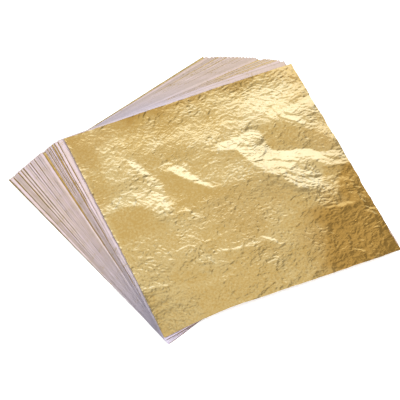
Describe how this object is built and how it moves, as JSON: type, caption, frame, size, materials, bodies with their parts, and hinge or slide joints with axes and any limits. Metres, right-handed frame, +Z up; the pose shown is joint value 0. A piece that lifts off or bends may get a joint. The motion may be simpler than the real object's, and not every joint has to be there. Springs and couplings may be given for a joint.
{
  "type": "gold leaf pack",
  "caption": "Square pack of thin gold-coloured metal leaves interleaved with mauve tissue, fanned out about one corner, with the top leaf bare.",
  "frame": {"origin": "centre of the lowest tissue's underside", "axes": "+Z up; X and Y along the sides of the lowest tissue; the fan turns about that tissue's corner with the lowest X and Y, and opens clockwise from below upwards"},
  "size_m": [0.1723, 0.1757, 0.0095],
  "materials": {
    "interleaving_tissue": "matte",
    "metal_leaf": "satin"
  },
  "bodies": {
    "pack_base": {"tissue_01": "interleaving_tissue", "leaf_01": "metal_leaf"},
    "pair_02": {"tissue_02": "interleaving_tissue", "leaf_02": "metal_leaf"},
    "pair_03": {"tissue_03": "interleaving_tissue", "leaf_03": "metal_leaf"},
    "pair_04": {"tissue_04": "interleaving_tissue", "leaf_04": "metal_leaf"},
    "pair_05": {"tissue_05": "interleaving_tissue", "leaf_05": "metal_leaf"},
    "pair_06": {"tissue_06": "interleaving_tissue", "leaf_06": "metal_leaf"},
    "pair_07": {"tissue_07": "interleaving_tissue", "leaf_07": "metal_leaf"},
    "pair_08": {"tissue_08": "interleaving_tissue", "leaf_08": "metal_leaf"},
    "pair_09": {"tissue_09": "interleaving_tissue", "leaf_09": "metal_leaf"},
    "pair_10": {"tissue_10": "interleaving_tissue", "leaf_10": "metal_leaf"},
    "pair_11": {"tissue_11": "interleaving_tissue", "leaf_11": "metal_leaf"},
    "pair_12": {"tissue_12": "interleaving_tissue", "leaf_12": "metal_leaf"},
    "pair_13": {"tissue_13": "interleaving_tissue", "leaf_13": "metal_leaf"},
    "pair_14": {"tissue_14": "interleaving_tissue", "leaf_14": "metal_leaf"},
    "pair_15": {"tissue_15": "interleaving_tissue", "leaf_15": "metal_leaf"},
    "pair_16": {"tissue_16": "interleaving_tissue", "leaf_16": "metal_leaf"},
    "pair_17": {"tissue_17": "interleaving_tissue", "leaf_17": "metal_leaf"},
    "pair_18": {"tissue_18": "interleaving_tissue", "leaf_18": "metal_leaf"},
    "pair_19": {"tissue_19": "interleaving_tissue", "leaf_19": "metal_leaf"},
    "pair_20": {"tissue_20": "interleaving_tissue", "leaf_20": "metal_leaf"},
    "pair_21": {"tissue_21": "interleaving_tissue", "leaf_21": "metal_leaf"},
    "pair_22": {"tissue_22": "interleaving_tissue", "leaf_22": "metal_leaf"},
    "pair_23": {"tissue_23": "interleaving_tissue", "leaf_23": "metal_leaf"},
    "pair_24": {"tissue_24": "interleaving_tissue", "leaf_24": "metal_leaf"},
    "pair_25": {"tissue_25": "interleaving_tissue"},
    "top_leaf": {"leaf_25": "metal_leaf"}
  },
  "joints": [
    {"name": "fan_02", "type": "hinge", "parent": "pack_base", "child": "pair_02", "pos_m": [-0.0705, -0.0705, 0.00017], "axis": [0, -0.0008, 1], "range_deg": [-0.132, 0.064]},
    {"name": "fan_03", "type": "hinge", "parent": "pack_base", "child": "pair_03", "pos_m": [-0.0705, -0.0705, 0.00033], "axis": [-0.0001, -0.0016, 1], "range_deg": [-1.69, 0.76]},
    {"name": "fan_04", "type": "hinge", "parent": "pack_base", "child": "pair_04", "pos_m": [-0.0705, -0.0705, 0.0005], "axis": [-0.0001, -0.0024, 1], "range_deg": [-2.83, 1.26]},
    {"name": "fan_05", "type": "hinge", "parent": "pack_base", "child": "pair_05", "pos_m": [-0.0705, -0.0705, 0.00067], "axis": [-0.0001, -0.0032, 1], "range_deg": [-3.96, 1.76]},
    {"name": "fan_06", "type": "hinge", "parent": "pack_base", "child": "pair_06", "pos_m": [-0.0705, -0.0705, 0.00084], "axis": [-0.0001, -0.004, 1], "range_deg": [-5.18, 2.31]},
    {"name": "fan_07", "type": "hinge", "parent": "pack_base", "child": "pair_07", "pos_m": [-0.0705, -0.0705, 0.001], "axis": [-0.0002, -0.0048, 1], "range_deg": [-6.99, 3.11]},
    {"name": "fan_08", "type": "hinge", "parent": "pack_base", "child": "pair_08", "pos_m": [-0.0705, -0.0705, 0.00117], "axis": [-0.0002, -0.0056, 1], "range_deg": [-8.55, 3.8]},
    {"name": "fan_09", "type": "hinge", "parent": "pack_base", "child": "pair_09", "pos_m": [-0.0705, -0.0705, 0.00134], "axis": [-0.0002, -0.0064, 1], "range_deg": [-10.02, 4.46]},
    {"name": "fan_10", "type": "hinge", "parent": "pack_base", "child": "pair_10", "pos_m": [-0.0705, -0.0705, 0.0015], "axis": [-0.0002, -0.0072, 1], "range_deg": [-11.82, 5.26]},
    {"name": "fan_11", "type": "hinge", "parent": "pack_base", "child": "pair_11", "pos_m": [-0.0705, -0.0705, 0.00167], "axis": [-0.0003, -0.008, 1], "range_deg": [-13.05, 5.8]},
    {"name": "fan_12", "type": "hinge", "parent": "pack_base", "child": "pair_12", "pos_m": [-0.0705, -0.0705, 0.00184], "axis": [-0.0003, -0.0088, 1], "range_deg": [-14.3, 6.36]},
    {"name": "fan_13", "type": "hinge", "parent": "pack_base", "child": "pair_13", "pos_m": [-0.0705, -0.0705, 0.00201], "axis": [-0.0003, -0.0096, 1], "range_deg": [-15.52, 6.91]},
    {"name": "fan_14", "type": "hinge", "parent": "pack_base", "child": "pair_14", "pos_m": [-0.0705, -0.0705, 0.00217], "axis": [-0.0004, -0.0104, 0.9999], "range_deg": [-16.78, 7.46]},
    {"name": "fan_15", "type": "hinge", "parent": "pack_base", "child": "pair_15", "pos_m": [-0.0705, -0.0705, 0.00234], "axis": [-0.0004, -0.0112, 0.9999], "range_deg": [-18, 8.01]},
    {"name": "fan_16", "type": "hinge", "parent": "pack_base", "child": "pair_16", "pos_m": [-0.0705, -0.0705, 0.00251], "axis": [-0.0004, -0.012, 0.9999], "range_deg": [-19.14, 8.51]},
    {"name": "fan_17", "type": "hinge", "parent": "pack_base", "child": "pair_17", "pos_m": [-0.0705, -0.0705, 0.00268], "axis": [-0.0004, -0.0128, 0.9999], "range_deg": [-22.5, 10.01]},
    {"name": "fan_18", "type": "hinge", "parent": "pack_base", "child": "pair_18", "pos_m": [-0.0705, -0.0705, 0.00284], "axis": [-0.0005, -0.0136, 0.9999], "range_deg": [-23.3, 10.36]},
    {"name": "fan_19", "type": "hinge", "parent": "pack_base", "child": "pair_19", "pos_m": [-0.0705, -0.0705, 0.00301], "axis": [-0.0005, -0.0144, 0.9999], "range_deg": [-24.09, 10.71]},
    {"name": "fan_20", "type": "hinge", "parent": "pack_base", "child": "pair_20", "pos_m": [-0.0705, -0.0705, 0.00318], "axis": [-0.0005, -0.0152, 0.9999], "range_deg": [-24.98, 11.11]},
    {"name": "fan_21", "type": "hinge", "parent": "pack_base", "child": "pair_21", "pos_m": [-0.0705, -0.0705, 0.00334], "axis": [-0.0005, -0.016, 0.9999], "range_deg": [-25.77, 11.46]},
    {"name": "fan_22", "type": "hinge", "parent": "pack_base", "child": "pair_22", "pos_m": [-0.0705, -0.0705, 0.00351], "axis": [-0.0006, -0.0168, 0.9999], "range_deg": [-26.66, 11.86]},
    {"name": "fan_23", "type": "hinge", "parent": "pack_base", "child": "pair_23", "pos_m": [-0.0705, -0.0705, 0.00368], "axis": [-0.0006, -0.0176, 0.9998], "range_deg": [-27.46, 12.21]},
    {"name": "fan_24", "type": "hinge", "parent": "pack_base", "child": "pair_24", "pos_m": [-0.0705, -0.0705, 0.00385], "axis": [-0.0006, -0.0184, 0.9998], "range_deg": [-28.59, 12.71]},
    {"name": "fan_spread", "type": "hinge", "parent": "pack_base", "child": "pair_25", "pos_m": [-0.0705, -0.0705, 0.00401], "axis": [-0.0006, -0.0192, 0.9998], "range_deg": [-30.6, 13.6]},
    {"name": "top_leaf_lift", "type": "slide", "parent": "pair_25", "child": "top_leaf", "axis": [0, 0, 1], "range_m": [0, 0.06]}
  ],
  "couplings": [
    {"joint": "fan_02", "follows": "fan_spread", "ratio": 0.004},
    {"joint": "fan_03", "follows": "fan_spread", "ratio": 0.055},
    {"joint": "fan_04", "follows": "fan_spread", "ratio": 0.092},
    {"joint": "fan_05", "follows": "fan_spread", "ratio": 0.129},
    {"joint": "fan_06", "follows": "fan_spread", "ratio": 0.169},
    {"joint": "fan_07", "follows": "fan_spread", "ratio": 0.228},
    {"joint": "fan_08", "follows": "fan_spread", "ratio": 0.279},
    {"joint": "fan_09", "follows": "fan_spread", "ratio": 0.327},
    {"joint": "fan_10", "follows": "fan_spread", "ratio": 0.386},
    {"joint": "fan_11", "follows": "fan_spread", "ratio": 0.426},
    {"joint": "fan_12", "follows": "fan_spread", "ratio": 0.467},
    {"joint": "fan_13", "follows": "fan_spread", "ratio": 0.507},
    {"joint": "fan_14", "follows": "fan_spread", "ratio": 0.548},
    {"joint": "fan_15", "follows": "fan_spread", "ratio": 0.588},
    {"joint": "fan_16", "follows": "fan_spread", "ratio": 0.625},
    {"joint": "fan_17", "follows": "fan_spread", "ratio": 0.735},
    {"joint": "fan_18", "follows": "fan_spread", "ratio": 0.761},
    {"joint": "fan_19", "follows": "fan_spread", "ratio": 0.787},
    {"joint": "fan_20", "follows": "fan_spread", "ratio": 0.816},
    {"joint": "fan_21", "follows": "fan_spread", "ratio": 0.842},
    {"joint": "fan_22", "follows": "fan_spread", "ratio": 0.871},
    {"joint": "fan_23", "follows": "fan_spread", "ratio": 0.897},
    {"joint": "fan_24", "follows": "fan_spread", "ratio": 0.934}
  ]
}
